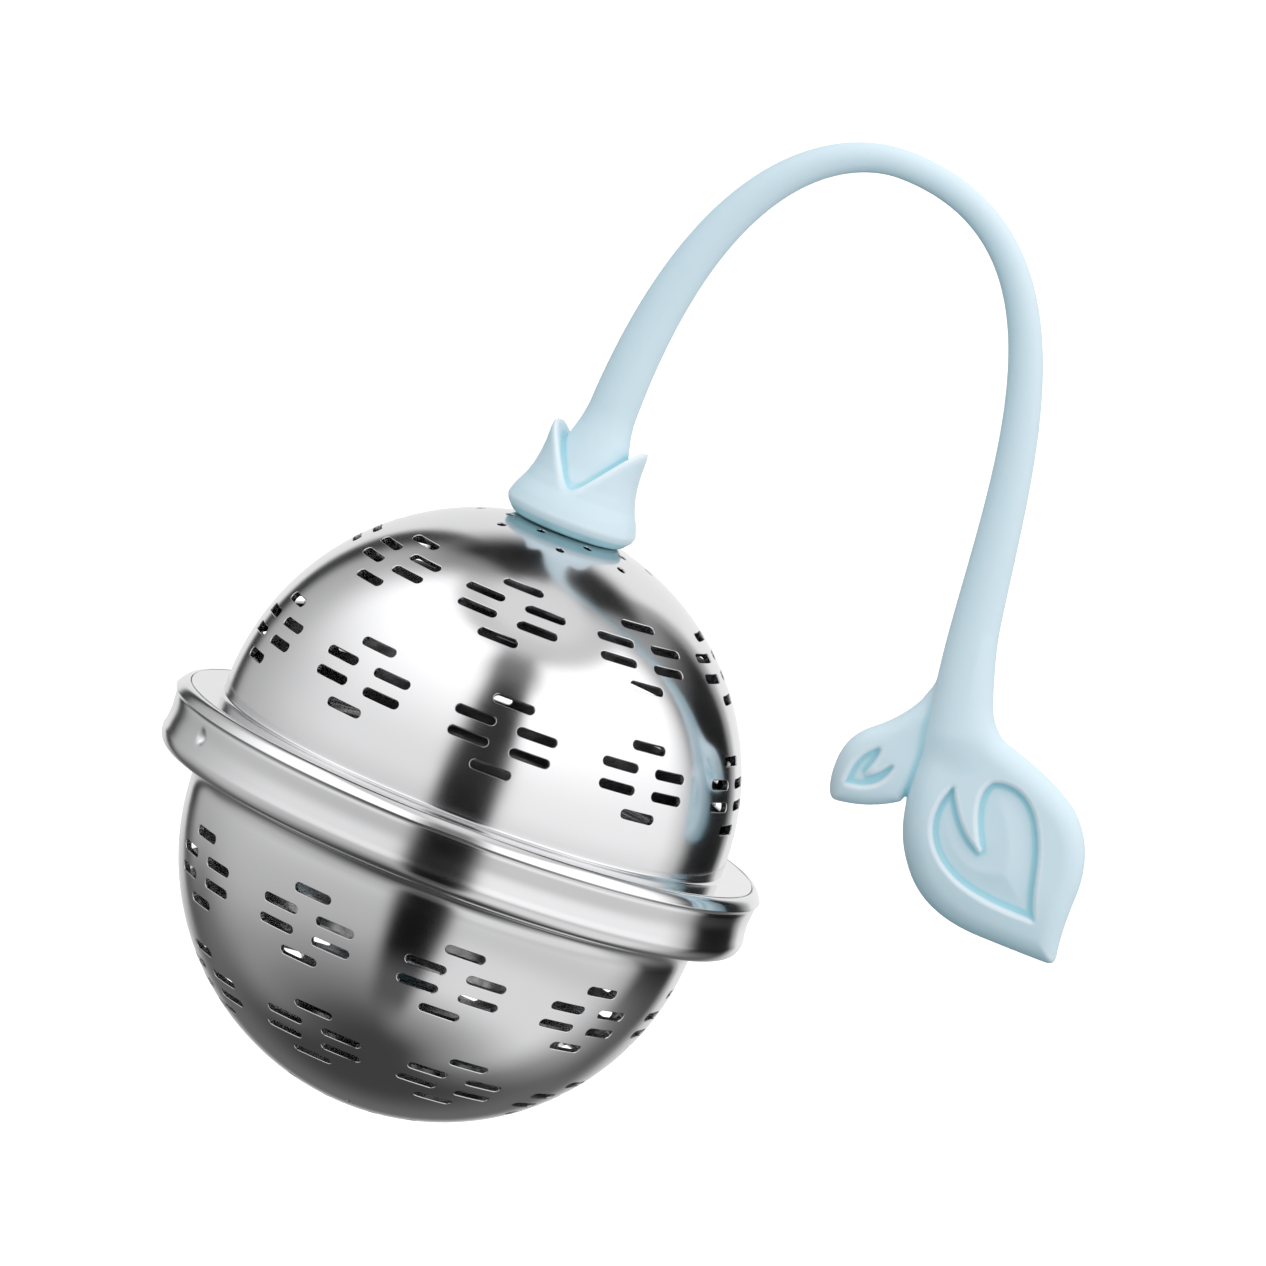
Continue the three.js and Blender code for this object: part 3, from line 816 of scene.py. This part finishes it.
def surface_bend(field):
    """How sharply the surface turns at each grid point, per millimetre: over 0 on rims, under 0 in
    creases."""
    wide = 2
    bend_for_painted_light = np.zeros(field.shape)
    inner = (slice(wide, -wide),) * 3
    for axis in range(3):
        ahead = np.roll(field, -wide, axis)[inner]
        behind = np.roll(field, wide, axis)[inner]
        bend_for_painted_light[inner] += ahead + behind - 2 * field[inner]
    return bend_for_painted_light / (wide * VOXEL) ** 2


# ---------------------------------------------------------------- materials

def new_material(name):
    """A material with its nodes, its links and its shader."""
    material = bpy.data.materials.new(name)
    material.use_nodes = True
    nodes = material.node_tree.nodes
    return material, nodes, material.node_tree.links, nodes["Principled BSDF"]


def object_noise(nodes, links, scale, detail, stretch=(1, 1, 1)):
    """Noise fixed to the object, in features per metre."""
    where = nodes.new("ShaderNodeTexCoord")
    mapping = nodes.new("ShaderNodeMapping")
    mapping.inputs["Scale"].default_value = stretch
    noise = nodes.new("ShaderNodeTexNoise")
    noise.inputs["Scale"].default_value = scale
    noise.inputs["Detail"].default_value = detail
    links.new(where.outputs["Object"], mapping.inputs["Vector"])
    links.new(mapping.outputs["Vector"], noise.inputs["Vector"])
    return noise


def ranged(nodes, links, source, low, high, start=0.3, end=0.7):
    """From low to high as the source goes from start to end."""
    change = nodes.new("ShaderNodeMapRange")
    change.inputs["From Min"].default_value = start
    change.inputs["From Max"].default_value = end
    change.inputs["To Min"].default_value = low
    change.inputs["To Max"].default_value = high
    links.new(source, change.inputs["Value"])
    return change.outputs["Result"]


def mixed(nodes, links, amount, low, high):
    """The colour low where the amount is 0 and high where it is 1; each is a socket or numbers."""
    mix = nodes.new("ShaderNodeMix")
    mix.data_type = "RGBA"
    links.new(amount, mix.inputs["Factor"])
    for value, socket in ((low, mix.inputs["A"]), (high, mix.inputs["B"])):
        if isinstance(value, tuple):
            socket.default_value = value
        else:
            links.new(value, socket)
    return mix.outputs["Result"]


def marked(nodes, name):
    """The number that the mesh holds for each point under the name."""
    mark = nodes.new("ShaderNodeAttribute")
    mark.attribute_name = name
    return mark.outputs["Fac"]


def steel_material():
    """Polished stainless sheet: faint turning lines, soft waves from drawing and uneven polish. The inner
    skin is darkened with painted shade, much more in the dome than in the bowl."""
    material, nodes, links, shader = new_material("polished_steel")
    shader.inputs["Metallic"].default_value = 1.0
    # Painted shade: the inside mark darkens the inner skin's colour
    colour = mixed(nodes, links, marked(nodes, "inside"), (0.77, 0.77, 0.78, 1), (0.20, 0.20, 0.205, 1))
    links.new(colour, shader.inputs["Base Color"])
    polish = object_noise(nodes, links, 160, 4)
    links.new(ranged(nodes, links, polish.outputs["Fac"], 0.10, 0.17), shader.inputs["Roughness"])
    lines = object_noise(nodes, links, 400, 3, (0.15, 0.15, 14))
    bump = nodes.new("ShaderNodeBump")
    bump.inputs["Strength"].default_value = 0.012
    bump.inputs["Distance"].default_value = 0.0001
    links.new(lines.outputs["Fac"], bump.inputs["Height"])
    links.new(bump.outputs["Normal"], shader.inputs["Normal"])
    return material


def silicone_material():
    """Matte pale blue silicone, slightly translucent, with the fine grain of its mould. Its colour carries
    painted light set by the surface's bend: painted shade in its creases and under the calyx, and a painted
    highlight on its rims."""
    material, nodes, links, shader = new_material("silicone")
    bend_for_painted_light = marked(nodes, "bend_for_painted_light")
    # Painted shade: creases and the calyx's underside take the deeper teal. Painted highlight: rims take the
    # paler colour.
    painted_crease_shade = ranged(nodes, links, bend_for_painted_light, 0.72, 0, -1.9, -0.1)
    painted_rim_highlight = ranged(nodes, links, bend_for_painted_light, 0, 0.8, 0.7, 2.6)
    colour = mixed(nodes, links, painted_crease_shade, (0.60, 0.765, 0.825, 1), (0.31, 0.67, 0.76, 1))
    colour = mixed(nodes, links, painted_rim_highlight, colour, (0.72, 0.83, 0.88, 1))
    links.new(colour, shader.inputs["Base Color"])
    shader.inputs["Roughness"].default_value = 0.5
    shader.inputs["Specular IOR Level"].default_value = 0.4
    shader.inputs["Subsurface Weight"].default_value = 0.3
    shader.inputs["Subsurface Radius"].default_value = (0.7, 1.0, 1.0)
    shader.inputs["Subsurface Scale"].default_value = 0.0008
    grain = object_noise(nodes, links, 6000, 2)
    bump = nodes.new("ShaderNodeBump")
    bump.inputs["Strength"].default_value = 0.15
    bump.inputs["Distance"].default_value = 0.00003
    links.new(grain.outputs["Fac"], bump.inputs["Height"])
    links.new(bump.outputs["Normal"], shader.inputs["Normal"])
    return material


# ---------------------------------------------------------------- studio

def camera():
    """A long lens at the height and roll that show the arch from the front."""
    rise = math.radians(CAMERA_RISE)
    roll = math.radians(CAMERA_ROLL)
    back = Vector((0, -math.cos(rise), math.sin(rise)))
    upright = Vector((0, math.sin(rise), math.cos(rise)))
    right = Vector((math.cos(roll), 0, 0)) + math.sin(roll) * upright
    up = Vector((-math.sin(roll), 0, 0)) + math.cos(roll) * upright
    aim = BALL + Vector((AIM[0], 0, AIM[1])) * MM
    data = bpy.data.cameras.new("camera")
    data.sensor_width = SENSOR
    data.lens = SENSOR * CAMERA_AWAY / (FRAME_WIDTH * MM)
    data.clip_start = 0.05
    data.clip_end = 20
    made = bpy.data.objects.new("camera", data)
    turn = Matrix((right, up, back)).transposed().to_4x4()
    made.matrix_world = Matrix.Translation(aim + back * CAMERA_AWAY) @ turn
    bpy.context.scene.collection.objects.link(made)
    bpy.context.scene.camera = made


class DirectionMath:
    """Small sums on the world's ray direction: azimuth from the front towards +X, and elevation."""

    def __init__(self, tree):
        self.nodes = tree.nodes
        self.links = tree.links
        where = self.nodes.new("ShaderNodeTexCoord")
        split = self.nodes.new("ShaderNodeSeparateXYZ")
        self.links.new(where.outputs["Generated"], split.inputs["Vector"])
        self.direction = where.outputs["Generated"]
        x, y, z = split.outputs
        ahead = self.sum("MULTIPLY", y, -1)
        self.azimuth = self.sum("DEGREES", self.sum("ARCTAN2", x, ahead))
        self.elevation = self.sum("DEGREES", self.sum("ARCSINE", z))

    def put(self, value, socket):
        """The value, a number or another socket, goes into the socket."""
        if isinstance(value, (int, float)):
            socket.default_value = value
        else:
            self.links.new(value, socket)

    def sum(self, operation, *values):
        """The result of one Math node on numbers or sockets."""
        node = self.nodes.new("ShaderNodeMath")
        node.operation = operation
        for value, socket in zip(values, node.inputs):
            self.put(value, socket)
        return node.outputs[0]

    def ramp(self, value, start, end, low=0.0, high=1.0):
        """A smooth change from low to high as the value goes from start to end."""
        node = self.nodes.new("ShaderNodeMapRange")
        node.interpolation_type = "SMOOTHSTEP"
        for name, number in (("From Min", start), ("From Max", end), ("To Min", low), ("To Max", high)):
            node.inputs[name].default_value = number
        self.links.new(value, node.inputs["Value"])
        return node.outputs["Result"]

    def within(self, value, span, soft):
        """Smooth mask of a span of degrees, each end blurred by its own softness."""
        (start, end), (soft_start, soft_end) = span, soft
        rise = self.ramp(value, start - soft_start, start + soft_start)
        fall = self.ramp(value, end - soft_end, end + soft_end, 1, 0)
        return self.sum("MULTIPLY", rise, fall)

    def towards(self, direction):
        """1 where the ray goes along the direction, falling to -1 opposite it."""
        node = self.nodes.new("ShaderNodeVectorMath")
        node.operation = "DOT_PRODUCT"
        node.inputs[1].default_value = Vector(direction).normalized()
        self.links.new(self.direction, node.inputs[0])
        return node.outputs["Value"]

    def laid(self, below, brightness, mask):
        """The lower layer with the new brightness over it where the mask is full."""
        change = self.sum("MULTIPLY", self.sum("SUBTRACT", brightness, below), mask)
        return self.sum("ADD", below, change)


# What the steel reflects, from the lowest layer up: azimuth span, elevation span, softness of the
# azimuth ends, softness of the elevation ends, brightness
PANELS = [
    # floor and ceiling
    ((-126, 126), (-72, 100), (22, 22), (12, 1), 0.15),
    ((-400, 400), (-48, 100), (1, 1), (14, 1), 0.15),
    ((-122, 122), (-60, 100), (22, 20), (12, 1), 0.30),
    ((-104, 122), (-44, 100), (26, 22), (14, 1), 0.50),
    ((8, 106), (-72, 100), (20, 18), (10, 1), 0.36),
    ((8, 106), (-55, 100), (20, 16), (13, 1), 0.88),
    ((-400, 400), (-20, 100), (1, 1), (9, 1), 0.42),
    ((-112, -10), (-32, 100), (24, 6), (12, 1), 0.60),
    ((-400, 400), (64, 100), (1, 1), (5, 1), 0.70),
    ((-400, 400), (73, 100), (1, 1), (3, 1), 0.84),
    # left softbox, brighter towards its top and its inner edge
    ((-137, -12), (-16, 63), (8, 3), (12, 4), 0.52),
    ((-100, -13), (-12, 63), (40, 3), (14, 4), 0.94),
    ((-114, -16), (30, 63), (16, 5), (26, 4), 1.45),
    # right softbox
    ((12, 106), (-14, 62), (3, 12), (14, 4), 1.08),
    ((16, 105), (22, 62), (5, 12), (22, 4), 1.50),
    # white backdrop behind
    ((-400, -153), (-16, 46), (1, 3), (14, 12), 0.90),
    ((154, 400), (-16, 60), (3, 1), (14, 14), 0.95),
    # black flags: between the softboxes, beside the backdrop and above it
    ((-17, 18), (50, 62), (10, 10), (7, 5), 0.20),
    ((-13, 13), (-66, 20), (6, 6), (8, 7), 0.11),
    ((-11.5, 12), (-42, 52), (4, 4), (9, 7), 0.008),
    ((114, 148), (-22, 40), (6, 3), (14, 14), 0.012),
    ((-154, -142), (-24, 58), (3, 5), (16, 8), 0.04),
    ((126, 178), (48, 72), (14, 6), (9, 5), 0.26),
    ((-184, -124), (46, 72), (6, 16), (10, 5), 0.26),
    ((136, 172), (50, 69), (5, 5), (5, 4), 0.004),
    ((-180, -140), (48, 74), (5, 6), (6, 4), 0.004),
]


def world():
    """White to the camera, even soft light for the matte silicone, and the studio in the steel."""
    scene = bpy.context.scene
    scene.view_settings.view_transform = "Standard"
    scene.world = bpy.data.worlds.new("studio")
    scene.world.use_nodes = True
    tree = scene.world.node_tree
    nodes, links = tree.nodes, tree.links
    nodes.clear()
    at = DirectionMath(tree)
    seen = 0.06
    for azimuths, elevations, soft_azimuth, soft_elevation, brightness in PANELS:
        mask = at.sum(
            "MULTIPLY", at.within(at.azimuth, azimuths, soft_azimuth),
            at.within(at.elevation, elevations, soft_elevation))
        seen = at.laid(seen, brightness, mask)
    light = mixed(nodes, links, at.ramp(at.towards(KEY), -1, 1), SHADE_LIGHT, KEY_LIGHT)
    rays = nodes.new("ShaderNodeLightPath")
    light = mixed(nodes, links, rays.outputs["Is Camera Ray"], light, (1, 1, 1, 1))
    light = mixed(nodes, links, rays.outputs["Is Glossy Ray"], light, seen)
    background = nodes.new("ShaderNodeBackground")
    background.inputs["Strength"].default_value = 1.0
    links.new(light, background.inputs["Color"])
    output = nodes.new("ShaderNodeOutputWorld")
    links.new(background.outputs["Background"], output.inputs["Surface"])


def floor():
    """A wide pale floor well below the ball, which neither lights the infuser nor shows in it."""
    mesh = bpy.data.meshes.new("floor")
    level = BALL.z - FLOOR_BELOW * MM
    corners = [(x, y, level) for x, y in ((-8, -8), (8, -8), (8, 8), (-8, 8))]
    mesh.from_pydata(corners, [], [(0, 1, 2, 3)])
    made = bpy.data.objects.new("floor", mesh)
    material, _, _, shader = new_material("floor")
    shader.inputs["Base Color"].default_value = (0.92, 0.92, 0.92, 1)
    shader.inputs["Roughness"].default_value = 0.9
    shader.inputs["Emission Color"].default_value = (1, 1, 1, 1)
    shader.inputs["Emission Strength"].default_value = 0.2
    mesh.materials.append(material)
    bpy.context.scene.collection.objects.link(made)
    made.visible_glossy = False
    made.visible_diffuse = False


# ---------------------------------------------------------------- assembly

camera()
world()
floor()

steel = steel_material()
upper = shell("upper_half", 1, upper_path(), upper_azimuths(), missing=bayonet_cells)
upper.data.materials.append(steel)
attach(upper, "upper_ball")
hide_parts("upper_shell")

lower = shell("lower_half", -1, lower_path(), lower_azimuths(), dents=pip_dents)
lower.data.materials.append(steel)
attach(lower, "lower_ball")
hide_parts("lower_shell")

moulding = handle_moulding()
moulding.data.materials.append(silicone_material())
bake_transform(moulding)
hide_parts("calyx_plug", "stem_inner_half", "stem_outer_half", "large_leaf", "small_leaf")
